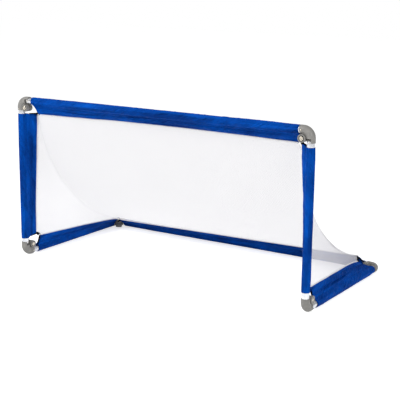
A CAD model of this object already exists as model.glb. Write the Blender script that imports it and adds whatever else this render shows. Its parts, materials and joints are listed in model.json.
"""Looks of a folding mini goal: locking elbows, bright tubes, creased blue sleeves and a fine white net."""

import json
from itertools import product
from math import acos, cos, exp, hypot, pi, radians, sin

import bmesh
import bpy
import numpy as np
from mathutils import Matrix, Vector, noise


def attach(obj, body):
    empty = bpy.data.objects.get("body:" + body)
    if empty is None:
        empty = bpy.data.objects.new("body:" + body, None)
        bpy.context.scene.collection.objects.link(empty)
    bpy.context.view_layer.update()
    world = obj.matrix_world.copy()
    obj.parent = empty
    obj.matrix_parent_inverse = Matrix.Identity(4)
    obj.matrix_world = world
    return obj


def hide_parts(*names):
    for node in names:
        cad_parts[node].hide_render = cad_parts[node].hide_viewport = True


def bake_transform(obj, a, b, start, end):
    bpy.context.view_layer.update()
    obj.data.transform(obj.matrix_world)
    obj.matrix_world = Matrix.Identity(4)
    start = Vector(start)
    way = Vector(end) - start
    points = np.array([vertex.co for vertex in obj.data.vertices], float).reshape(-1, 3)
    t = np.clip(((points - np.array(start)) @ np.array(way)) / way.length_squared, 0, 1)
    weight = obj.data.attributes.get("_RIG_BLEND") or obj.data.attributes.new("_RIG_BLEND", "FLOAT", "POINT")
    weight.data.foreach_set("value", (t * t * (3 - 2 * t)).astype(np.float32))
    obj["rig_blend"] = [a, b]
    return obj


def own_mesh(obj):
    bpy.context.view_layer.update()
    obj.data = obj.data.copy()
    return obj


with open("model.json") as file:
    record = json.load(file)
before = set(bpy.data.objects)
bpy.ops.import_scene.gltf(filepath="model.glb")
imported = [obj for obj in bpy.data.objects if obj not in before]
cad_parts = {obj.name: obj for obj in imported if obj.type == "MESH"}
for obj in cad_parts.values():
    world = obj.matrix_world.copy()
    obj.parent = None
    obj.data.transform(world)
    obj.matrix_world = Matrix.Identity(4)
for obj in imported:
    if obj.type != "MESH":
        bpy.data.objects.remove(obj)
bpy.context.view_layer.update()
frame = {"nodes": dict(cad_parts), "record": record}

# Sizes of the frame, as in the CAD model
TUBE_RADIUS = 0.0125
TUBE_WALL = 0.0012
GAP = 0.0003
ELBOW_RADIUS = 0.0145
PIN_OFFSET = 0.026
HALF_WIDTH = 0.5855
AXIS_HEIGHT = 0.571
MOUTH_Y = -0.28425
FLOOR_Z = 0.0145
COLLAR_LENGTH = 0.009
FIRST_TUBE_START = 0.0023
SECOND_TUBE_START = 0.0083
BAND_WIDTH = 0.055
BAND_HOLLOW = 0.001
# How far the net pulls each band out of its frame's plane, in degrees: at its start, middle and end
BAND_TILTS = {
    "crossbar": (24, 38, 32), "left_post": (42, 72, 84), "right_post": (34, 48, 50),
    "left_side": (74, 56, 36), "right_side": (70, 60, 26), "rear_bar": (26, 36, 46),
}
BAND_START = 0.0605  # from the corner where the tube axes meet to the band's free edge
NET_SAG = 0.098
NET_SKEW = -0.05
HINGE_Y = -0.25825
HINGE_Z = 0.0405

ROUND_SIDES = 48

X, Y, Z = Vector((1, 0, 0)), Vector((0, 1, 0)), Vector((0, 0, 1))
ORIGIN = Vector((0, MOUTH_Y, FLOOR_Z))
LEFT, RIGHT = -HALF_WIDTH, HALF_WIDTH
CORNERS = {
    "top_left": (Vector((LEFT, 0, AXIS_HEIGHT)), -Z, X),
    "top_right": (Vector((RIGHT, 0, AXIS_HEIGHT)), -X, -Z),
    "bottom_left": (Vector((LEFT, 0, 0)), Y, Z),
    "bottom_right": (Vector((RIGHT, 0, 0)), Z, Y),
    "rear_left": (Vector((LEFT, AXIS_HEIGHT, 0)), -Y, X),
    "rear_right": (Vector((RIGHT, AXIS_HEIGHT, 0)), -X, -Y),
}
TUBES = {
    "crossbar": ("top_left", "top_right"),
    "left_post": ("top_left", "bottom_left"),
    "right_post": ("top_right", "bottom_right"),
    "left_side": ("bottom_left", "rear_left"),
    "right_side": ("bottom_right", "rear_right"),
    "rear_bar": ("rear_left", "rear_right"),
}
FRONT_TUBES = ("crossbar", "left_post", "right_post")
LONG_TUBES = ("crossbar", "rear_bar")
INWARD = {
    "crossbar": -Z, "left_post": X, "right_post": -X, "left_side": X, "right_side": -X, "rear_bar": -Y,
}

# Where each sleeve begins and ends, from the corner: at the tube and at the free edge
SLEEVE_ENDS = {
    "crossbar": ((0.055, 0.063), (0.039, 0.045)),
    "left_post": ((0.049, 0.053), (0.053, 0.062)),
    "right_post": ((0.053, 0.050), (0.056, 0.054)),
    "left_side": ((0.060, 0.066), (0.040, 0.044)),
    "right_side": ((0.064, 0.068), (0.045, 0.060)),
    "rear_bar": ((0.043, 0.044), (0.045, 0.060)),
}

BODIES = frame["record"]["behaviour"]["bodies"]
BODY_OF_NODE = {node: body for body, nodes in BODIES.items() for node in nodes}


def stand_for(item, node):
    """Puts an item in the place of a CAD node, on that node's body."""
    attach(item, BODY_OF_NODE[node])
    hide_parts(node)


# Shader kit


class Shader:
    """The node tree of a material or a world, with short calls to add nodes to it."""

    def __init__(self, owner, output="OutputMaterial"):
        owner.use_nodes = True
        self.owner = owner
        self.nodes = owner.node_tree.nodes
        self.links = owner.node_tree.links
        self.nodes.clear()
        self.output = self.node(output)

    def node(self, kind, inputs=None, **settings):
        made = self.nodes.new("ShaderNode" + kind)
        for name, value in settings.items():
            setattr(made, name, value)
        for key, value in (inputs or {}).items():
            socket = made.inputs[key]
            if isinstance(value, bpy.types.NodeSocket):
                self.links.new(value, socket)
            elif value is not None:
                socket.default_value = value
        return made

    def add(self, kind, inputs=None, **settings):
        """Adds a node and gives its first output."""
        return self.node(kind, inputs, **settings).outputs[0]

    def math(self, operation, *values):
        return self.add("Math", dict(enumerate(values)), operation=operation)

    def vector(self, operation, *values):
        return self.add("VectorMath", dict(enumerate(values)), operation=operation)

    def noise(self, place, scale, detail=2.0, roughness=0.5):
        values = {"Vector": place, "Scale": scale, "Detail": detail, "Roughness": roughness}
        return self.add("TexNoise", values)

    def range(self, value, low=0.3, high=0.7, to_low=0.0, to_high=1.0):
        return self.add("MapRange", {0: value, 1: low, 2: high, 3: to_low, 4: to_high})

    def ridge(self, value):
        """Sharp crests where the noise passes through its middle."""
        away = self.math("ABSOLUTE", self.math("SUBTRACT", value, 0.5))
        return self.range(away, 0.0, 0.16, 1.0, 0.0)

    def mix(self, share, a, b):
        return self.node("Mix", {0: share, 6: a, 7: b}, data_type="RGBA").outputs[2]

    def bump(self, height, strength, distance, normal=None):
        values = {"Height": height, "Strength": strength, "Distance": distance, "Normal": normal}
        return self.add("Bump", values)

    def finish(self, surface):
        self.links.new(surface, self.output.inputs["Surface"])
        return self.owner


def new_material(name):
    """The tree of a new material, and the place on its object in metres."""
    tree = Shader(bpy.data.materials.new(name))
    return tree, tree.node("TexCoord").outputs["Object"]


def colour(red, green, blue):
    """An sRGB colour of 0 to 255, as the linear values of a socket."""
    values = [c / 255 for c in (red, green, blue)]
    return (*[c / 12.92 if c <= 0.04045 else ((c + 0.055) / 1.055) ** 2.4 for c in values], 1)


def cloth_material(name, dark, light, thread, bump, sheen=(1, 1, 1, 1), sheen_weight=0.0, crease=0.0):
    """Plain weave and fine creases, from the UV map in metres, over slow changes of tone."""
    tree, place = new_material(name)
    uv = tree.add("UVMap", uv_map="cloth")
    apart = tree.node("SeparateXYZ", {0: uv})
    turns = [tree.math("MULTIPLY", apart.outputs[axis], 2 * pi / thread) for axis in (0, 1)]
    weave = tree.math("MULTIPLY", *[tree.math("SINE", turn) for turn in turns])
    slub = tree.noise(place, 260.0, 3.0)
    slow = tree.noise(place, 9.0, 4.0, 0.55)
    tone = tree.math("ADD", tree.range(slow, to_high=0.75), tree.range(slub, to_high=0.2))
    tone = tree.math("ADD", tone, tree.math("MULTIPLY", weave, 0.06))
    height = tree.math("ADD", tree.math("MULTIPLY", weave, 0.6), tree.math("MULTIPLY", slub, 0.8))
    normal = tree.bump(height, bump, 0.0002)
    if crease:
        long_way = tree.noise(tree.vector("MULTIPLY", uv, (58.0, 5.0, 1.0)), 1.0, 1.4, 0.45)
        half_over = tree.math("MULTIPLY", apart.outputs[1], 0.5)
        slant = tree.vector("ADD", uv, tree.add("CombineXYZ", {0: half_over}))
        slanted = tree.noise(tree.vector("MULTIPLY", slant, (76.0, 15.0, 1.0)), 1.0, 1.2, 0.45)
        ridges = tree.math("ADD", tree.ridge(long_way), tree.math("MULTIPLY", tree.ridge(slanted), 0.6))
        normal = tree.bump(ridges, 1.0, crease, normal)
        for wave, share in ((long_way, 1.7), (slanted, 0.7)):
            tone = tree.math("ADD", tone, tree.math("MULTIPLY", tree.math("SUBTRACT", wave, 0.5), share))
    shader = tree.add("BsdfPrincipled", {
        "Base Color": tree.mix(tree.range(tone, 0.0, 1.0), dark, light),
        "Roughness": tree.range(slub, 0.3, 0.7, 0.55, 0.68),
        "IOR": 1.12,
        "Sheen Weight": sheen_weight,
        "Sheen Tint": sheen,
        "Sheen Roughness": 0.45,
        "Normal": normal,
    })
    return tree.finish(shader)


def plastic_material(name, dark, light, roughness):
    """Moulded plastic with a fine grain and faint flow marks."""
    tree, place = new_material(name)
    fine = tree.noise(place, 900.0, 2.0)
    slow = tree.noise(place, 70.0, 4.0, 0.6)
    shader = tree.add("BsdfPrincipled", {
        "Base Color": tree.mix(tree.range(slow), dark, light),
        "Roughness": tree.range(slow, 0.3, 0.7, roughness - 0.07, roughness + 0.07),
        "Specular IOR Level": 0.4,
        "Normal": tree.bump(fine, 0.25, 0.0002),
    })
    return tree.finish(shader)


def metal_material(name, dark, light, smooth, dull, streaks=(40.0, 40.0, 900.0)):
    """Bright metal with fine drawn marks and a few dull patches."""
    tree, place = new_material(name)
    scaled = tree.vector("MULTIPLY", place, streaks)
    drawn = tree.noise(scaled, 1.0, 3.0)
    patches = tree.noise(place, 45.0, 4.0, 0.6)
    shader = tree.add("BsdfPrincipled", {
        "Base Color": tree.mix(tree.range(patches, 0.35, 0.65), dark, light),
        "Roughness": tree.range(tree.math("ADD", drawn, patches), 0.7, 1.3, smooth, dull),
        "Metallic": 1.0,
        "Normal": tree.bump(drawn, 0.12, 0.0001),
    })
    return tree.finish(shader)


def net_material(name, pitch, hole, light, through):
    """Knitted net: round holes on a diamond lattice, from the UV map in metres."""
    tree, place = new_material(name)
    uv = tree.add("UVMap", uv_map="cloth")
    apart = tree.node("SeparateXYZ", {0: uv})
    cells = []
    for sign in ("ADD", "SUBTRACT"):
        turned = tree.math("MULTIPLY", tree.math(sign, *apart.outputs[:2]), 0.7071 / pitch)
        cells.append(tree.math("SUBTRACT", tree.math("FRACT", turned), 0.5))
    radius = tree.math("SQRT", tree.math("ADD", *[tree.math("MULTIPLY", cell, cell) for cell in cells]))
    cover = tree.range(radius, hole - 0.04, hole + 0.04)
    slow = tree.noise(place, 6.0, 3.0)
    rib = tree.math("SINE", tree.math("MULTIPLY", radius, 18.0))
    dark = (*[part * 0.985 for part in light[:3]], 1)
    tint = tree.mix(tree.range(slow), light, dark)
    normal = tree.bump(rib, 0.3, 0.0004)
    front = tree.add("BsdfPrincipled", {
        "Base Color": tint, "Roughness": 0.75, "Specular IOR Level": 0.1, "Normal": normal,
    })
    back = tree.add("BsdfTranslucent", {"Color": tint, "Normal": normal})
    body = tree.add("MixShader", {0: through, 1: front, 2: back})
    clear = tree.add("BsdfTransparent")
    return tree.finish(tree.add("MixShader", {0: cover, 1: clear, 2: body}))


BLUE_SHEEN = (0.0, 0.16, 1.0, 1)
BLUE = cloth_material(
    "blue_cloth", colour(0, 49, 126), colour(0, 84, 190), thread=0.0009, bump=0.35,
    sheen=BLUE_SHEEN, sheen_weight=0.35, crease=0.0046,
)
BLUE_THREAD = cloth_material(
    "blue_thread", colour(0, 60, 150), colour(0, 76, 176), thread=0.0006, bump=0.3,
    sheen=BLUE_SHEEN, sheen_weight=0.3,
)
WHITE_TAPE = cloth_material(
    "white_tape", colour(240, 240, 242), colour(250, 250, 251), thread=0.0012, bump=0.3,
)
WEBBING = cloth_material("black_webbing", colour(6, 7, 14), colour(16, 18, 30), thread=0.0016, bump=0.8)
NET = net_material("white_net", pitch=0.0036, hole=0.325, light=colour(246, 245, 248), through=0.46)
SHELL = plastic_material("grey_plastic", colour(130, 129, 126), colour(146, 144, 140), 0.46)
INNER = plastic_material("inner_plastic", colour(112, 112, 110), colour(126, 125, 122), 0.5)
BLACK = plastic_material("black_plastic", colour(20, 20, 20), colour(34, 34, 34), 0.4)
ZINC = metal_material("zinc", colour(200, 202, 207), colour(228, 230, 234), 0.2, 0.36)
STEEL = metal_material(
    "bright_steel", colour(186, 178, 164), colour(218, 211, 198), 0.22, 0.4, streaks=(500, 500, 500),
)


# Shape kit


def goal_point(point):
    return Vector(point) + ORIGIN


def polar(radius, angle, height=0.0):
    return Vector((radius * cos(angle), radius * sin(angle), height))


def noise_at(x, y, z=0.0):
    return noise.noise(Vector((x, y, z)))


def tube_ends(name):
    ends = []
    for corner, other in (TUBES[name], TUBES[name][::-1]):
        place = CORNERS[corner][0]
        way = (CORNERS[other][0] - place).normalized()
        ends.append((corner, place, way, (way - CORNERS[corner][1]).length < 0.5))
    return ends


def tube_line(name):
    """First corner, way and length of a tube's axis, from corner to corner."""
    (_, start, way, _), (_, end, _, _) = tube_ends(name)
    return start, way, (end - start).length


def axes_matrix(x, y, z, origin):
    """The frame with these three axes and this origin."""
    made = Matrix((x, y, z)).transposed().to_4x4()
    made.translation = origin
    return made


def corner_matrix(name):
    """An elbow's own frame: its pin is Z, and its two tubes run along X and Y."""
    place, first, second = CORNERS[name]
    pin = goal_point(place + PIN_OFFSET * (first + second))
    return axes_matrix(first, second, first.cross(second), pin)


def add_object(name, data):
    made = bpy.data.objects.new(name, data)
    bpy.context.scene.collection.objects.link(made)
    return made


def link(mesh, material, name=None):
    made = add_object(name or mesh.name, mesh)
    mesh.materials.clear()
    mesh.materials.append(material)
    return made


def from_bmesh(name, shape):
    shape.normal_update()
    bmesh.ops.recalc_face_normals(shape, faces=shape.faces)
    made = bpy.data.meshes.new(name)
    shape.to_mesh(made)
    shape.free()
    return made


def soften(item, width, degrees):
    """Rounds an item's edges where they turn by more than an angle."""
    soft = item.modifiers.new("soft", "BEVEL")
    soft.width = width
    soft.segments = 2
    soft.limit_method = "ANGLE"
    soft.angle_limit = radians(degrees)


def thicken(item, thickness, offset):
    thick = item.modifiers.new("thick", "SOLIDIFY")
    thick.thickness = thickness
    thick.offset = offset


def smooth(mesh, degrees=35):
    mesh.shade_smooth()
    mesh.set_sharp_from_angle(angle=radians(degrees))
    return mesh


def grid_mesh(name, points, uvs, loop_across=False):
    """A mesh from a (rows, columns, 3) array, with its UV map in metres."""
    rows, columns = points.shape[:2]
    mesh = bpy.data.meshes.new(name)
    wide = columns if loop_across else columns - 1
    row, column = np.meshgrid(np.arange(rows - 1), np.arange(wide), indexing="ij")
    corner_rows = np.stack([row, row, row + 1, row + 1], axis=-1)
    corner_columns = np.stack([column, column + 1, column + 1, column], axis=-1)
    faces = (corner_rows * columns + corner_columns % columns).reshape(-1, 4)
    mesh.from_pydata(points.reshape(-1, 3).tolist(), [], faces.tolist())
    layer = mesh.uv_layers.new(name="cloth")
    layer.data.foreach_set("uv", uvs[corner_rows, corner_columns].astype(np.float32).ravel())
    mesh.validate()
    mesh.shade_smooth()
    return mesh


def even_uvs(rows, columns, across, along):
    """UV coordinates for a grid whose points are evenly spaced, in metres."""
    row, column = np.meshgrid(np.arange(rows), np.arange(columns), indexing="ij")
    return np.stack([column * across, row * along], axis=-1)


def flat_frame(centre, normal, across):
    normal, across = Vector(normal).normalized(), Vector(across).normalized()
    return axes_matrix(across, normal.cross(across), normal, centre)


def round_bar(start, end, radius, across, sides=ROUND_SIDES):
    shape = bmesh.new()
    start, end = Vector(start), Vector(end)
    place = flat_frame((start + end) / 2, end - start, across)
    bmesh.ops.create_cone(
        shape, cap_ends=True, segments=sides, radius1=radius, radius2=radius,
        depth=(end - start).length, matrix=place,
    )
    return shape


def disc(radius, low, high, sides=ROUND_SIDES):
    return round_bar((0, 0, low), (0, 0, high), radius, X, sides)


def box(low, high):
    shape = bmesh.new()
    low, high = Vector(low), Vector(high)
    place = Matrix.Translation((low + high) / 2) @ Matrix.Diagonal((*(high - low), 1))
    bmesh.ops.create_cube(shape, size=1, matrix=place)
    return shape


def prism(points, low, high):
    """An outline of points, raised from one height to another."""
    shape = bmesh.new()
    face = shape.faces.new([shape.verts.new((point[0], point[1], low)) for point in points])
    made = bmesh.ops.extrude_face_region(shape, geom=[face])["geom"]
    top = [part for part in made if isinstance(part, bmesh.types.BMVert)]
    bmesh.ops.translate(shape, verts=top, vec=(0, 0, high - low))
    return shape


def settled_mesh(item):
    """An item's mesh with its modifiers applied."""
    bpy.context.view_layer.update()
    return bpy.data.meshes.new_from_object(item.evaluated_get(bpy.context.evaluated_depsgraph_get()))


def combine(name, base, steps, bevel=0.0):
    """The base shape after a list of (operation, shape) steps, as a mesh with softened edges."""
    item = link(from_bmesh(name, base), SHELL)
    cutters = []
    for number, (operation, shape) in enumerate(steps):
        cutter = link(from_bmesh(f"{name}_{number}", shape), SHELL)
        cutters.append(cutter)
        modifier = item.modifiers.new(str(number), "BOOLEAN")
        modifier.operation = operation
        modifier.solver = "EXACT"
        modifier.object = cutter
    if bevel:
        soften(item, bevel, 40)
    made = settled_mesh(item)
    for thing in [item, *cutters]:
        bpy.data.objects.remove(thing, do_unlink=True)
    return made


def turned(name, profile, sides=ROUND_SIDES, hollow=False):
    """A shape turned about Z from (radius, height) points, which go all round its wall if it is hollow."""
    shape = bmesh.new()
    rings = []
    for radius, height in profile:
        count = sides if radius else 1
        rings.append([shape.verts.new(polar(radius, 2 * pi * i / sides, height)) for i in range(count)])
    following_rings = rings[1:] + (rings[:1] if hollow else [])
    for ring, following in zip(rings, following_rings):
        for i in range(sides):
            loop = ((ring, i), (ring, i + 1), (following, i + 1), (following, i))
            shape.faces.new(list(dict.fromkeys(points[number % len(points)] for points, number in loop)))
    return from_bmesh(name, shape)


def place_copies(kind, mesh, material, nodes_named):
    """One copy of a mesh at each elbow, standing for its CAD node."""
    for corner in CORNERS:
        made = link(mesh, material, f"{corner}_{kind}")
        made.matrix_world = corner_matrix(corner)
        stand_for(made, f"{corner}_{nodes_named}")


def add_fastener(name, mesh, matrix, body):
    made = link(mesh, STEEL, name)
    made.matrix_world = matrix
    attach(made, body)


# Locking elbows

OVERLAP = 0.001
BEYOND = 2 * PIN_OFFSET
BEND_STEPS = 20
WEB_HALF = 0.0105
TROUGH_LENGTH = 0.0135
TROUGH_OPENING = 0.006
COLLAR_FLOOR = 0.002
SEAM_START, SEAM_END = COLLAR_LENGTH - 0.0022, COLLAR_LENGTH - 0.0016
SEAM_DEPTH = 0.0004
BOSS_RADIUS = 0.013
BOSS_TOP = 0.016
BOSS_GROOVE = 0.0016
BOSS_GROOVE_FLOOR = 0.0075
SLOT_HALF = 0.0048
SLOT_WALL = 0.0012
HUB_RADIUS = 0.0115
HUB_HALF = 0.0045
HUB_FLOOR = -0.001
NECK_HALF = 0.0042
NECK_TOP = 0.0057
NECK_REACH = 0.010
FLANGE_LOW, FLANGE_TOP = 0.0045, 0.008
GEAR_TIP, GEAR_ROOT = 0.0089, 0.0071
GEAR_POCKET_TOP = 0.0112
TOOTH_TIP, TOOTH_FOOT = 1.7, 1.15  # width at the tip and half width at the foot, in quarters of a pitch
BORE_RADIUS = 0.0093
BORE_FLOOR = 0.010
PIN_RECESS_RADIUS = 0.0053
PIN_RECESS_DEPTH = 0.0016
SCREW_ANGLES = (radians(200), radians(250))
SCREW_CIRCLE = PIN_OFFSET * 0.86
SCREW_WELL_RADIUS = 0.0026
SCREW_WELL_DEPTH = 0.0022
SCREW_FACE = -ELBOW_RADIUS + 0.0018
SCREW_RADIUS = 0.0023
SCREW_HEIGHT = 0.0008
CROSS_LONG, CROSS_WIDE, CROSS_DEPTH = 0.0015, 0.0003, 0.0005
COLLAR_RIVET = Vector((0.0045, -PIN_OFFSET, ELBOW_RADIUS))
TUBE_RIVET = Vector((-PIN_OFFSET, (SECOND_TUBE_START + 0.0165) / 2, TUBE_RADIUS - 0.0001))
BUTTON_TOP = 0.017
BUTTON_RADIUS = 0.0068
SPRING_RADIUS = 0.0047
SPRING_WIRE = 0.0005
SPRING_TURNS = 3
SPRING_LOW, SPRING_HIGH = -0.0007, 0.0083

# Outlines of the turned pieces, as (radius, height) points
RIVET_PROFILE = (
    (0, 0.0012), (0.0010, 0.00112), (0.0018, 0.0008), (0.0024, 0.0004), (0.0027, 0), (0.0027, -0.0004),
    (0, -0.0004),
)
BUTTON_PROFILE = (
    (0, BUTTON_TOP - 0.0005), (0.0038, BUTTON_TOP - 0.0005), (0.0043, BUTTON_TOP - 0.00035),
    (0.0047, BUTTON_TOP), (0.0060, BUTTON_TOP), (0.0065, BUTTON_TOP - 0.0003),
    (BUTTON_RADIUS, BUTTON_TOP - 0.0008), (BUTTON_RADIUS, BUTTON_TOP - 0.0047), (0, BUTTON_TOP - 0.0047),
)
PIN_PROFILE = (
    (0, 0.0062), (0.0021, 0.0062), (0.003, 0.0053), (0.003, -0.0133), (0.0040, -0.0133), (0.0050, -0.0136),
    (0.0049, -0.0140), (0.0042, -0.0142), (0.0014, -0.0142), (0.0010, -0.0138), (0, -0.0138),
)


def tooth_outline(tip, root, teeth=6, steps=4):
    """Square-shouldered teeth round a circle, with rounded tips."""
    points = []
    quarter = pi / teeth / 2
    top = [quarter * (-TOOTH_TIP / 2 + TOOTH_TIP * i / steps) for i in range(steps + 1)]
    gap = [quarter * (TOOTH_FOOT + TOOTH_TIP * i / steps) for i in range(1, steps)]
    foot = TOOTH_FOOT * quarter
    for tooth in range(teeth):
        middle = 2 * pi * tooth / teeth
        points.append(polar(root, middle - foot))
        points += [polar(tip, middle + turn) for turn in top]
        points += [polar(root, middle + turn) for turn in (foot, *gap)]
    return points


def first_bar(start, end, radius):
    """A bar on the axis of the elbow's first tube, in the elbow's own frame."""
    return round_bar((start, -PIN_OFFSET, 0), (end, -PIN_OFFSET, 0), radius, Y)


def second_bar(start, end, radius):
    return round_bar((-PIN_OFFSET, start, 0), (-PIN_OFFSET, end, 0), radius, X)


def elbow_bend():
    shape = bmesh.new()
    place = flat_frame((0, -PIN_OFFSET, 0), X, Y)
    bmesh.ops.create_circle(shape, cap_ends=True, segments=ROUND_SIDES, radius=ELBOW_RADIUS, matrix=place)
    bmesh.ops.spin(shape, geom=shape.faces[:], cent=(0, 0, 0), axis=Z, angle=-pi / 2, steps=BEND_STEPS)
    return shape


def collar_seam():
    """A thin ring round the collar, to be cut out as the line between collar and shell."""
    ring = first_bar(SEAM_START, SEAM_END, ELBOW_RADIUS + OVERLAP)
    core = first_bar(0, BEYOND, ELBOW_RADIUS - SEAM_DEPTH)
    shape = bmesh.new()
    shape.from_mesh(combine("collar_seam", ring, [("DIFFERENCE", core)]))
    return shape


def screw_well(angle):
    spot = polar(SCREW_CIRCLE, angle)
    floor = spot - Z * (ELBOW_RADIUS - SCREW_WELL_DEPTH)
    return round_bar(spot - Z * BEYOND, floor, SCREW_WELL_RADIUS, X, 20)


def shell_mesh():
    """Shell, cheeks, boss and collar in one moulding."""
    arc = [pi + pi / 2 * step / BEND_STEPS for step in range(BEND_STEPS + 1)]
    web = [(0, 0)] + [polar(PIN_OFFSET, angle) for angle in arc]
    slot_side = BOSS_RADIUS + SLOT_WALL
    return combine("elbow_shell", elbow_bend(), [
        ("UNION", first_bar(-OVERLAP, COLLAR_LENGTH, ELBOW_RADIUS)),
        ("UNION", second_bar(-OVERLAP, TROUGH_LENGTH, ELBOW_RADIUS)),
        ("DIFFERENCE", box((-PIN_OFFSET - TROUGH_OPENING, 0, -BEYOND), (BEYOND, BEYOND, BEYOND))),
        ("DIFFERENCE", second_bar(0, BEYOND, TUBE_RADIUS + GAP)),
        ("UNION", prism(web, -WEB_HALF, WEB_HALF)),
        ("DIFFERENCE", disc(BOSS_RADIUS + BOSS_GROOVE, BOSS_GROOVE_FLOOR, BEYOND)),
        ("DIFFERENCE", first_bar(COLLAR_FLOOR, BEYOND, TUBE_RADIUS + GAP)),
        ("UNION", disc(BOSS_RADIUS, -ELBOW_RADIUS, BOSS_TOP)),
        ("DIFFERENCE", disc(HUB_RADIUS + GAP, -SLOT_HALF, SLOT_HALF)),
        ("DIFFERENCE", box((-slot_side, 0, -SLOT_HALF), (slot_side, slot_side, SLOT_HALF))),
        ("DIFFERENCE", prism(tooth_outline(GEAR_TIP, GEAR_ROOT), 0, GEAR_POCKET_TOP)),
        ("DIFFERENCE", disc(BORE_RADIUS, BORE_FLOOR, BEYOND)),
        ("DIFFERENCE", disc(PIN_RECESS_RADIUS, -BEYOND, -ELBOW_RADIUS + PIN_RECESS_DEPTH, 32)),
        ("DIFFERENCE", collar_seam()),
        *[("DIFFERENCE", screw_well(angle)) for angle in SCREW_ANGLES],
    ], bevel=0.0005)


def knuckle_mesh():
    """Hub, neck and flange, with the hollow that takes the lock gear."""
    hub = disc(HUB_RADIUS, -HUB_HALF, HUB_HALF)
    neck = box((-PIN_OFFSET - NECK_REACH, GAP, -NECK_HALF), (-HUB_RADIUS / 2, NECK_TOP, NECK_HALF))
    flange = second_bar(FLANGE_LOW, FLANGE_TOP, TUBE_RADIUS)
    hollow = disc(GEAR_TIP, HUB_FLOOR, BEYOND)
    steps = [("UNION", neck), ("UNION", flange), ("DIFFERENCE", hollow)]
    return combine("elbow_knuckle", hub, steps, bevel=0.0003)


def screw_mesh():
    """A flush cross-head screw on Z, its face towards +Z at zero."""
    arms = []
    for x, y in ((CROSS_LONG, CROSS_WIDE), (CROSS_WIDE, CROSS_LONG)):
        arms.append(("DIFFERENCE", box((-x, -y, -CROSS_DEPTH), (x, y, OVERLAP))))
    return combine("shell_screw", disc(SCREW_RADIUS, -SCREW_HEIGHT, 0, 24), arms, bevel=0.00012)


def make_elbows():
    place_copies("elbow_shell", smooth(shell_mesh()), SHELL, "elbow_housing")
    place_copies("hinge_knuckle", smooth(knuckle_mesh()), INNER, "elbow_knuckle")
    button = smooth(turned("push_button", BUTTON_PROFILE), 25)
    place_copies("button_cap", button, STEEL, "push_button")
    pin = smooth(turned("hinge_pin", PIN_PROFILE, 32), 25)
    place_copies("hinge_pin", pin, STEEL, "pivot_pin")
    screw = smooth(screw_mesh())
    rivet = smooth(turned("rivet_head", RIVET_PROFILE, 24), 50)
    for corner in CORNERS:
        matrix = corner_matrix(corner)
        shell_body = BODY_OF_NODE[f"{corner}_elbow_housing"]
        for number, angle in enumerate(SCREW_ANGLES):
            spot = matrix @ Matrix.Translation(polar(SCREW_CIRCLE, angle, SCREW_FACE))
            turn = Matrix.Rotation(pi, 4, "X") @ Matrix.Rotation(0.4 + number, 4, "Z")
            add_fastener(f"{corner}_shell_screw_{number + 1}", screw, spot @ turn, shell_body)
        add_fastener(f"{corner}_collar_rivet", rivet, matrix @ Matrix.Translation(COLLAR_RIVET), shell_body)
        gear = frame["nodes"][f"{corner}_lock_gear"]
        gear.data.materials.clear()
        gear.data.materials.append(BLACK)
        make_spring(corner, matrix)


def make_spring(corner, matrix):
    """Coil spring under the button, which shortens by the button's travel when it is pressed."""
    steps, sides = 28, 8
    count = SPRING_TURNS * steps
    rise = SPRING_HIGH - SPRING_LOW - 2 * SPRING_WIRE
    points = np.zeros((count + 1, sides, 3))
    for i in range(count + 1):
        wire = SPRING_WIRE * (0.05 if i in (0, count) else 1)
        height = SPRING_LOW + SPRING_WIRE + rise * i / count
        for k in range(sides):
            turn = 2 * pi * k / sides
            out, up = wire * cos(turn), wire * sin(turn)
            points[i, k] = matrix @ polar(SPRING_RADIUS + out, 2 * pi * i / steps, height + up)
    uvs = even_uvs(count + 1, sides + 1, 0.0004, 0.001)
    mesh = grid_mesh(f"{corner}_coil_spring", points, uvs, loop_across=True)
    made = link(mesh, STEEL)
    stand_for(made, f"{corner}_button_spring")
    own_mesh(made)


TUBE_ROWS = 24
ROLLED_EDGE = 0.0004


def tube_mesh(name, length):
    """An open tube on Z, with its wall closed by a rolled edge at both ends."""
    edges = (0, ROLLED_EDGE, 3 * ROLLED_EDGE)
    middle = [length * i / TUBE_ROWS for i in range(1, TUBE_ROWS)]
    stations = [*edges, *middle, *[length - edge for edge in edges[::-1]]]
    outside, inside = [], []
    for along in stations:
        edge = min(along, length - along)
        rolled = ROLLED_EDGE * (1 - min(1.0, edge / (2 * ROLLED_EDGE))) ** 2
        outside.append((TUBE_RADIUS - rolled, along))
        inside.append((TUBE_RADIUS - TUBE_WALL + rolled, along))
    return smooth(turned(name, outside + inside[::-1], hollow=True))


def make_tubes():
    """Round bare tubes with rolled ends, and a rivet where each is held in a knuckle."""
    rivet = bpy.data.meshes["rivet_head"]
    for name in TUBES:
        ends = tube_ends(name)
        points = []
        for _, place, way, first in ends:
            start = FIRST_TUBE_START if first else SECOND_TUBE_START
            points.append(goal_point(place + way * (PIN_OFFSET + start)))
        axis = ends[0][2]
        mesh = tube_mesh(f"{name}_steel_tube", (points[1] - points[0]).length)
        mesh.transform(flat_frame(points[0], axis, X if abs(axis.x) < 0.5 else Y))
        stand_for(link(mesh, ZINC), f"{name}_tube")
        for corner in [corner for corner, _, _, first in ends if not first]:
            matrix = corner_matrix(corner) @ Matrix.Translation(TUBE_RIVET)
            add_fastener(f"{corner}_tube_rivet", rivet, matrix, BODY_OF_NODE[f"{name}_tube"])


# Cloth that folds with the frame

LAYER_SPREAD = 0.011  # share of a right angle by which folded layers of cloth stay apart
FOLD_REACH = 0.3  # from the fold's hinge to where the blend is measured, on the base and on the mouth


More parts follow.
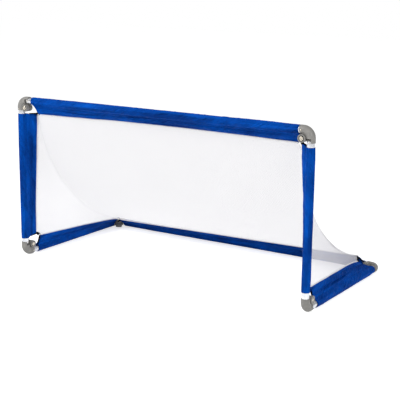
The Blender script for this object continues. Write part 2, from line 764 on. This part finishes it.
def fold_with_frame(item, node=None):
    """Bends a soft piece with the fold: each point turns by its own place between the base and the mouth."""
    settled = settled_mesh(item)
    item.modifiers.clear()
    item.data = settled
    on_base, on_mouth = (0, HINGE_Y + FOLD_REACH, HINGE_Z), (0, HINGE_Y, HINGE_Z + FOLD_REACH)
    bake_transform(item, "base", "front_frame", start=on_base, end=on_mouth)
    points = np.empty(len(settled.vertices) * 3)
    settled.vertices.foreach_get("co", points)
    _, y, z = points.reshape(-1, 3).T
    share = np.clip(np.arctan2(z - HINGE_Z, y - HINGE_Y) / (pi / 2), 0, 1)
    share += LAYER_SPREAD * np.sin(2 * pi * share)
    settled.attributes["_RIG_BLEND"].data.foreach_set("value", share.astype(np.float32))
    if node:
        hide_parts(node)


# Sleeves


def band_way(name, share):
    """The way the band leaves its tube, and how wide it is there."""
    off_plane = Y if name in FRONT_TUBES else Z
    start, middle, end = BAND_TILTS[name]
    bow = 4 * share * (1 - share)
    tilt = radians(start * (1 - share) * (1 - 2 * share) + middle * bow + end * share * (2 * share - 1))
    return INWARD[name] * cos(tilt) + off_plane * sin(tilt), BAND_WIDTH - BAND_HOLLOW * bow


def band_place(name, along):
    """Axis point, band way, side way and band width at a distance from the tube's first corner."""
    start, way, length = tube_line(name)
    share = max(0.0, min(1.0, (along - BAND_START) / (length - 2 * BAND_START)))
    toward, width = band_way(name, share)
    gathers = GATHER * noise_at(along / 0.09, 3.7 * list(TUBES).index(name))
    ease = min(1.0, 14 * min(share, 1 - share))
    return start + way * along, toward, way.cross(toward), width + gathers * ease


TUNNEL_RADIUS = 0.0139
CLOTH_HALF = 0.0007
CLOTH_THICKNESS = 0.0005
GATHER = 0.0012
RIPPLE = 0.0022
CRUMPLE = 0.00012
ROUND_POINTS = 36
FLAT_POINTS = 26
SLEEVE_STEP = 0.0042
# How far each sleeve hangs off the back of its tube
LOOSE = {"right_post": 0.0042, "crossbar": 0.0010, "right_side": 0.0016, "left_post": 0.0008}
# How deep each sleeve's creases are, along the tube and slanting across it, and their slant in degrees
CREASES = {
    "crossbar": (0.0022, 0.0026, 33), "left_post": (0.0010, 0.0006, -18), "right_post": (0.0018, 0.0010, 14),
    "left_side": (0.0012, 0.0022, 30), "right_side": (0.0018, 0.0018, -24), "rear_bar": (0.0012, 0.0010, 22),
}
# Each pleat: how far out its groove starts and ends, where it runs along the sleeve, its depth and its face
PLEATS = {
    "right_side": ((0.46, 0.40, 0.02, 0.72, 0.0060, 1), (0.70, 0.52, 0.50, 0.99, 0.0040, 1)),
    "right_post": ((0.30, 0.10, 0.0, 0.34, 0.0030, -1),),
    "crossbar": ((0.30, 0.52, 0.02, 0.26, 0.0036, -1), (0.34, 0.24, 0.56, 0.97, 0.0040, -1)),
}
GROOVE_WIDTH = 0.065
# Length along the tube and width round it of each kind of swell in the cloth
SWELLS = {
    "wave": (0.12, 0.030), "fold": (0.20, 0.020), "patch": (0.16, 0.06), "drag": (0.065, 0.0125),
    "crumple": (0.011, 0.009),
}


def ridge(value, width=0.35):
    """One on the lines where the noise passes through zero, falling to zero beside them."""
    return max(0.0, 1 - abs(value) / width) ** 2


def sleeve_section(width):
    """Outline round the tube and out to the free edge and back, as (out, across) points."""
    reach = width - 0.0004
    tangent = acos(TUNNEL_RADIUS / reach) * 0.93
    points = []
    for i in range(ROUND_POINTS + 1):
        angle = tangent + (2 * pi - 2 * tangent) * i / ROUND_POINTS
        points.append((TUNNEL_RADIUS * cos(angle), TUNNEL_RADIUS * sin(angle)))
    start = Vector(points[-1])
    tip = Vector((reach, -CLOTH_HALF))
    sides = []
    for i in range(1, FLAT_POINTS + 1):
        share = i / FLAT_POINTS
        spot = start.lerp(tip, share)
        drawn_in = 1 - 0.55 * sin(pi * min(1.0, share * 1.15))
        sides.append((spot.x, min(spot.y * drawn_in, -CLOTH_HALF)))
    fold = [(width, -0.0003), (width, 0.0003)]
    return points + sides + fold + [(x, -y) for x, y in reversed(sides)]


def pleat_height(name, share, far, face):
    """Height of the pleats at a place on the band: the cloth swells on both sides of a narrow groove."""
    height = 0.0
    for far_start, far_end, first, last, rise, side in PLEATS.get(name, ()):
        if side != face or not first < share < last:
            continue
        part = (share - first) / (last - first)
        away = far - (far_start + (far_end - far_start) * part)
        swell = (sin(pi * far) * sin(pi * part)) ** 0.6
        height += rise * swell * (1 - exp(-(away / GROOVE_WIDTH) ** 2))
    return height


def swell_noise(kind, along, around, seed):
    length, width = SWELLS[kind]
    return noise_at(along / length, around / width, seed)


def crease_height(name, along, around, seed):
    """Height of long soft folds, sharp drag lines across them and fine crumpling."""
    long_depth, slant_depth, slant = CREASES[name]
    turn = radians(slant)
    down = along * cos(turn) + around * sin(turn)
    over = around * cos(turn) - along * sin(turn)
    waves = swell_noise("wave", along, around, seed + 3)
    long_folds = ridge(swell_noise("fold", along, around, seed)) + 0.6 * waves
    where = max(0.0, min(1.0, 0.5 + 1.6 * swell_noise("patch", along, around, seed + 9)))
    drag_lines = ridge(swell_noise("drag", down, over, seed + 5)) * where
    crumple = swell_noise("crumple", along, around, seed + 11)
    return long_depth * long_folds + slant_depth * drag_lines + CRUMPLE * crumple


def slanted_end(end, far):
    """How far a sleeve's slanted end lies from the corner, far of the way out on the band."""
    at_tube, at_edge = end
    return at_tube + (at_edge - at_tube) * far ** 0.8


def round_tube(out, across):
    """True for the points of the outline that lie round the tube, and not on the band."""
    return hypot(out, across) < TUNNEL_RADIUS + 0.001


def cloth_shift(name, out, across, far, share, along, around, seed):
    """How far a point of the sleeve's outline is moved, out and across, by creases, pleats and slack."""
    crease = crease_height(name, along, around, seed)
    swell = min(1.0, min(share, 1 - share) * 12)
    if round_tube(out, across):
        radial = Vector((out, across)).normalized()
        slack = LOOSE.get(name, 0.0) * swell * max(0.0, -radial.x)
        return radial * (0.4 * max(0.0, crease) + slack * (0.7 + 0.5 * noise_at(along / 0.12, seed)))
    face = 1.0 if across > 0 else -1.0
    middle = sin(pi * far) ** 0.6 if far < 1 else 0.0
    ripple = noise_at(along / 0.07, far * 1.3, seed + 20) * RIPPLE * sin(pi * far ** 0.8)
    rise = max(0.0, crease * middle) + pleat_height(name, share, far, face) * swell
    return Vector((0, face * rise + ripple))


def sleeve_mesh(name):
    """The sleeve's mesh, with the flat size of its cloth: once round, and its length at the tube."""
    length = tube_line(name)[2]
    start_end, far_end = SLEEVE_ENDS[name]
    flat_length = length - start_end[0] - far_end[0]
    rows = int(flat_length / SLEEVE_STEP)
    section = sleeve_section(BAND_WIDTH)
    columns = len(section)
    points = np.zeros((rows + 1, columns, 3))
    uvs = np.zeros((rows + 1, columns + 1, 2))
    around = [0.0]
    for (x0, y0), (x1, y1) in zip(section, section[1:] + section[:1]):
        around.append(around[-1] + hypot(x1 - x0, y1 - y0))
    seed = 7.3 * (1 + list(TUBES).index(name))
    for r in range(rows + 1):
        share = r / rows
        for c, (out, across) in enumerate(section):
            far = max(0.0, min(1.0, (out - TUNNEL_RADIUS) / (BAND_WIDTH - TUNNEL_RADIUS)))
            low, high = slanted_end(start_end, far), length - slanted_end(far_end, far)
            along = low + (high - low) * share
            place, toward, side, width = band_place(name, along)
            shift = cloth_shift(name, out, across, far, share, along, around[c], seed)
            if not round_tube(out, across):
                out *= width / BAND_WIDTH
            points[r, c] = goal_point(place + toward * (out + shift.x) + side * (across + shift.y))
            uvs[r, c] = (around[c], along)
        uvs[r, columns] = (around[columns], uvs[r, 0, 1])
    return grid_mesh(f"{name}_cloth_sleeve", points, uvs, loop_across=True), around[columns], flat_length


def make_sleeves():
    for name in TUBES:
        mesh, round_it, length = sleeve_mesh(name)
        made = link(mesh, BLUE)
        thicken(made, CLOTH_THICKNESS, -1)
        fold_with_frame(made, f"{name}_sleeve")
        tube, stitches = f"{name}_steel_tube", stitch_rows(name)


STITCH_PITCH = 0.0042
STITCH_LENGTH = 0.0030
STITCH_HALF = 0.00028
STITCH_ROWS = (0.0030, 0.0075)  # from the band's free edge
STITCH_LIFTS = (0.00075, 0.00105, 0.00075)
STITCH_MARGIN = 0.003


def stitch_rows(name):
    """Two rows of thread stitches along the band's free edge, on both of its faces."""
    length = tube_line(name)[2]
    (_, edge_start), (_, edge_end) = SLEEVE_ENDS[name]
    count = int((length - edge_start - edge_end - 2 * STITCH_MARGIN) / STITCH_PITCH)
    corners, faces = [], []
    for inset, face, number in product(STITCH_ROWS, (-1, 1), range(count)):
        first = edge_start + STITCH_MARGIN + number * STITCH_PITCH
        base = len(corners)
        for part, lift in enumerate(STITCH_LIFTS):
            place, toward, side, width = band_place(name, first + STITCH_LENGTH * part / 2)
            centre = place + toward * (width - inset) + side * face * lift
            corners += [goal_point(centre + way * STITCH_HALF)[:] for way in (-toward, side * face, toward)]
        for row in (base, base + 1, base + 3, base + 4):
            faces.append((row, row + 1, row + 4, row + 3))
    mesh = bpy.data.meshes.new(f"{name}_stitches")
    mesh.from_pydata(corners, [], faces)
    mesh.uv_layers.new(name="cloth")
    mesh.shade_smooth()
    made = link(mesh, BLUE_THREAD)
    fold_with_frame(made)
    return made


# Net

NET_PAST = 0.0006
NET_WAVE, NET_RIPPLE = 0.0045, 0.0015
NET_WAVE_LENGTH = 0.18
BACK_COLUMNS = 120
BACK_ROWS = 72
SIDE_COLUMNS = 40
REST_ROUNDS = 400
SEAM_HALF, SEAM_THICK = 0.0006, 0.00035


def edge_point(name, share):
    """A point just past the band's free edge."""
    length = tube_line(name)[2]
    place, toward, _, width = band_place(name, BAND_START + (length - 2 * BAND_START) * share)
    return goal_point(place + toward * (width + NET_PAST))


def net_back():
    """The net's back, from the crossbar down to the rear bar, as rows of points."""
    shares = [i / BACK_COLUMNS for i in range(BACK_COLUMNS + 1)]
    top, bottom = ([edge_point(name, share) for share in shares] for name in LONG_TUBES)
    ends = []
    for which, end in (("left", 0), ("right", -1)):
        post_top = edge_point(f"{which}_post", 0)
        side_end = edge_point(f"{which}_side", 1)
        ends.append(((top[end] + post_top) / 2, (bottom[end] + side_end) / 2))
    (top_left, low_left), (top_right, low_right) = ends
    top = [top_left, *top, top_right]
    bottom = [low_left, *bottom, low_right]
    sag_way = -(Y + Z).normalized()
    points = np.zeros((BACK_ROWS + 1, len(top), 3))
    for r in range(BACK_ROWS + 1):
        share = r / BACK_ROWS
        bow = 4 * share * (1 - share) * (1 + NET_SKEW * (2 * share - 1))
        for c, (high, low) in enumerate(zip(top, bottom)):
            spot = high.lerp(low, share) + sag_way * NET_SAG * bow
            across = spot.x / NET_WAVE_LENGTH
            ease = min(1.0, bow * 1.6) * min(1.0, (HALF_WIDTH - abs(spot.x)) / 0.15)
            wave = noise_at(across, share * 2.2, 3.1) * NET_WAVE
            ripple = noise_at(across * 2.3, share * 5.0, 8.7) * NET_RIPPLE
            points[r, c] = spot + sag_way * (wave + ripple) * ease
    return points


def net_side(which, seam):
    """The three-cornered side: rows from the post and the side tube to the seam."""
    steps = len(seam) - 1
    half = steps // 2
    down_post = [edge_point(f"{which}_post", i / (half - 1)) for i in range(1, half)]
    front_low = (edge_point(f"{which}_post", 1) + edge_point(f"{which}_side", 0)) / 2
    last = steps - half - 2
    along_side = [edge_point(f"{which}_side", i / last) for i in range(last + 1)]
    border = np.array([seam[0], *down_post, front_low, *along_side, seam[-1]])
    ways = np.array(seam) - border
    points = border[:, None] + ways[:, None] * np.arange(SIDE_COLUMNS + 1)[None, :, None] / SIDE_COLUMNS
    # The cloth comes to rest: each inner point moves to the mean of its neighbours
    for _ in range(REST_ROUNDS):
        inner = (points[:-2, 1:-1] + points[2:, 1:-1] + points[1:-1, :-2] + points[1:-1, 2:]) / 4
        points[1:-1, 1:-1] = inner
    return points


def flat_uv(points):
    """UV coordinates in metres, measured along the rows and down the columns of a grid of points."""
    u = np.zeros(points.shape[:2])
    v = np.zeros(points.shape[:2])
    u[:, 1:] = np.cumsum(np.linalg.norm(np.diff(points, axis=1), axis=2), axis=1)
    v[1:] = np.cumsum(np.linalg.norm(np.diff(points, axis=0), axis=2), axis=0)
    u -= u.mean(axis=1, keepdims=True)
    return np.stack([u, v], axis=-1)


def make_net():
    back = net_back()
    seams = {"left": back[:, 0], "right": back[:, -1]}
    panels = [(back, flat_uv(back))]
    for which, line in seams.items():
        side = net_side(which, [Vector(point) for point in line])
        panels.append((side, side[..., 1:]))
    shape = bmesh.new()
    for points, uvs in panels:
        shape.from_mesh(grid_mesh("net_panel", points, uvs))
    bmesh.ops.remove_doubles(shape, verts=shape.verts, dist=0.00002)
    mesh = bpy.data.meshes.new("net_cloth")
    shape.to_mesh(mesh)
    shape.free()
    made = link(mesh, NET)
    fold_with_frame(made, "goal_net")
    tapes = [net_seam(which, line) for which, line in seams.items()]


def add_tape(name, points, across, along):
    """A strip of white tape from rows of points round it, which folds with the frame."""
    rows, columns = points.shape[:2]
    mesh = grid_mesh(name, points, even_uvs(rows, columns + 1, across, along), loop_across=True)
    made = link(mesh, WHITE_TAPE)
    fold_with_frame(made)
    return made


def net_seam(which, line):
    """A narrow folded tape over the seam between the back and a side of the net."""
    count, sides = len(line), 8
    outward = -X if which == "left" else X
    points = np.zeros((count, sides, 3))
    for i in range(count):
        along = Vector(line[min(i + 1, count - 1)] - line[max(i - 1, 0)]).normalized()
        out = (outward - along * outward.dot(along)).normalized()
        up = along.cross(out).normalized()
        for k in range(sides):
            angle = 2 * pi * k / sides
            spot = Vector(line[i]) + out * SEAM_HALF * cos(angle)
            points[i, k] = spot + up * SEAM_THICK * sin(angle)
    return add_tape(f"{which}_net_seam", points, 0.0008, 0.011)


HEM_STEP = 0.008
HEM_PAST = 0.004
HEM_PUCKER, HEM_PUCKER_LENGTH = 0.12, 0.012
# Outline of the hem tape round the band's free edge, as (out, across) points
HEM_PROFILE = (
    (-0.0012, 0.0011), (0.0010, 0.0013), (0.0036, 0.0009), (0.0044, 0.0), (0.0036, -0.0009),
    (0.0010, -0.0013), (-0.0012, -0.0011),
)


def make_hems():
    """White tape that binds the net's border to each band."""
    for name in TUBES:
        length = tube_line(name)[2]
        count = int(length / HEM_STEP)
        points = np.zeros((count + 1, len(HEM_PROFILE), 3))
        for i in range(count + 1):
            along = BAND_START - HEM_PAST + (length - 2 * BAND_START + 2 * HEM_PAST) * i / count
            place, toward, side, width = band_place(name, along)
            for k, (out, across) in enumerate(HEM_PROFILE):
                pucker = 1 + HEM_PUCKER * noise_at(along / HEM_PUCKER_LENGTH, k * 0.7, 2.2)
                points[i, k] = goal_point(place + toward * (width + out) + side * across * pucker)
        add_tape(f"{name}_hem_tape", points, 0.0016, HEM_STEP)


# Corner bindings

BINDING_START, BINDING_REACH = 0.30, 0.72  # shares of the way out to the band's free edge
BINDING_STEPS = 12
BRIDGE_STEPS = 8
BINDING_COLUMNS = 8
BINDING_THICKNESS = 0.0026
BINDING_HALF = 0.0030
BINDING_WIDER = (0.0035, 0.0015)  # how much wider it gets at its middle, towards the corner and away from it
BINDING_STEP = 0.0035
BINDING_LIFT = 0.0005
REAR_FLAP = 0.016  # how far the webbing hangs down in front of a rear elbow


def band_end(name, corner, far):
    """A point on a band's slanted end, far of the way out to its free edge, and the way along its tube."""
    ends = tube_ends(name)
    which = 0 if ends[0][0] == corner else 1
    off = slanted_end(SLEEVE_ENDS[name][which], far)
    place, toward, _, width = band_place(name, tube_line(name)[2] - off if which else off)
    return place + toward * (TUNNEL_RADIUS + (width - TUNNEL_RADIUS) * far), ends[which][2]


def make_bindings():
    """Black webbing bound over the slanted ends of the two bands at each corner."""
    shares = [BINDING_START + BINDING_REACH * i / BINDING_STEPS for i in range(BINDING_STEPS + 1)]
    for corner in CORNERS:
        names = [name for name in TUBES if corner in TUBES[name]]
        first, second = ([band_end(name, corner, far) for far in shares] for name in names)
        (tip_a, way_a), (tip_b, way_b) = first[-1], second[-1]
        parts = [i / BRIDGE_STEPS for i in range(1, BRIDGE_STEPS)]
        bridge = [(tip_a.lerp(tip_b, part), way_a.lerp(way_b, part)) for part in parts]
        line = first + bridge + second[::-1]
        flap = REAR_FLAP if corner.startswith("rear") else 0.0
        points = np.zeros((len(line), BINDING_COLUMNS + 1, 3))
        uvs = np.zeros((len(line), BINDING_COLUMNS + 1, 2))
        for i, (spot, way) in enumerate(line):
            way = way.normalized()
            middle = sin(pi * i / (len(line) - 1))
            tangent = (line[min(i + 1, len(line) - 1)][0] - line[max(i - 1, 0)][0]).normalized()
            normal = tangent.cross(way).normalized()
            low = -BINDING_HALF - BINDING_WIDER[0] * middle ** 2
            high = BINDING_HALF + BINDING_WIDER[1] * middle ** 4
            for j in range(BINDING_COLUMNS + 1):
                off = low + (high - low) * j / BINDING_COLUMNS
                lift = BINDING_LIFT * noise_at(i * 0.35, j * 0.3, len(corner))
                hang = flap * middle ** 4 * (1 - j / BINDING_COLUMNS)
                points[i, j] = goal_point(spot + way * off + normal * lift - Z * hang)
                uvs[i, j] = (off - hang, i * BINDING_STEP)
        made = link(grid_mesh(f"{corner}_webbing", points, uvs), WEBBING)
        thicken(made, BINDING_THICKNESS, 0)
        soften(made, 0.0006, 50)
        fold_with_frame(made, f"{corner}_corner_binding")


# Surroundings


CAMERA_ANGLES = (32.399, 12.906, 0.681)  # yaw, pitch and roll in degrees
CAMERA_DISTANCE = 3.3501
CAMERA_TARGET = goal_point((0.1879, 0.0, 0.3008))
FOCAL_LENGTH = 1015.8  # in pixels of the 400 pixel frame
FRAME_PIXELS = 400
SENSOR_WIDTH = 36
FLOOR_HALF, FLOOR_HEIGHT = 12, -0.0006
LIT_POINT = Vector((0, 0, 0.3))
WHITE = (1, 1, 1, 1)
FLOOR_GLOW = 0.66
WORLD_LIGHT = 0.42


def make_camera():
    yaw, pitch, roll = (radians(angle) for angle in CAMERA_ANGLES)
    view = Vector((-sin(yaw) * cos(pitch), cos(yaw) * cos(pitch), -sin(pitch)))
    level = Vector((cos(yaw), sin(yaw), 0))
    upright = level.cross(view)
    right = level * cos(roll) + upright * sin(roll)
    up = upright * cos(roll) - level * sin(roll)
    camera = add_object("camera", bpy.data.cameras.new("camera"))
    camera.data.sensor_width = SENSOR_WIDTH
    camera.data.lens = SENSOR_WIDTH * FOCAL_LENGTH / FRAME_PIXELS
    camera.data.clip_end = 50
    camera.matrix_world = axes_matrix(right, up, -view, CAMERA_TARGET - view * CAMERA_DISTANCE)
    bpy.context.scene.camera = camera


def make_light(name, place, size, power):
    """A round lamp that shines at the middle of the goal."""
    data = bpy.data.lights.new(name, "AREA")
    data.shape = "DISK"
    data.size = size
    data.energy = power
    lamp = add_object(name, data)
    lamp.location = place
    lamp.rotation_euler = (LIT_POINT - Vector(place)).to_track_quat("-Z", "Y").to_euler()


def floor_material():
    tree, place = new_material("studio_floor")
    path = tree.node("LightPath")
    seen = tree.math("MAXIMUM", path.outputs["Is Camera Ray"], path.outputs["Is Glossy Ray"])
    slow = tree.noise(place, 3.0)
    tint = tree.mix(tree.range(slow), (0.80, 0.80, 0.80, 1), (0.82, 0.82, 0.82, 1))
    matt = tree.add("BsdfDiffuse", {"Color": tint})
    strength = tree.math("MULTIPLY", seen, FLOOR_GLOW)
    glow = tree.add("Emission", {"Color": WHITE, "Strength": strength})
    return tree.finish(tree.add("AddShader", {0: matt, 1: glow}))


def make_surroundings():
    """Pale floor, white world and two soft lamps."""
    shape = bmesh.new()
    bmesh.ops.create_grid(shape, x_segments=8, y_segments=8, size=FLOOR_HALF)
    floor = link(from_bmesh("studio_floor", shape), floor_material())
    floor.location.z = FLOOR_HEIGHT
    world = bpy.data.worlds.new("studio")
    bpy.context.scene.world = world
    tree = Shader(world, "OutputWorld")
    path = tree.node("LightPath")
    seen = tree.math("MAXIMUM", path.outputs["Is Camera Ray"], path.outputs["Is Transmission Ray"])
    strength = tree.range(seen, 0.0, 1.0, WORLD_LIGHT)
    tree.finish(tree.add("Background", {"Color": WHITE, "Strength": strength}))
    make_light("key", (-1.6, -2.6, 2.6), size=1.5, power=80)
    make_light("fill", (3.0, -1.6, 1.9), size=1.2, power=40)
    bpy.context.scene.view_settings.view_transform = "Standard"


make_camera()
make_surroundings()
make_elbows()
make_tubes()
make_sleeves()
make_net()
make_hems()
make_bindings()

bpy.context.view_layer.update()
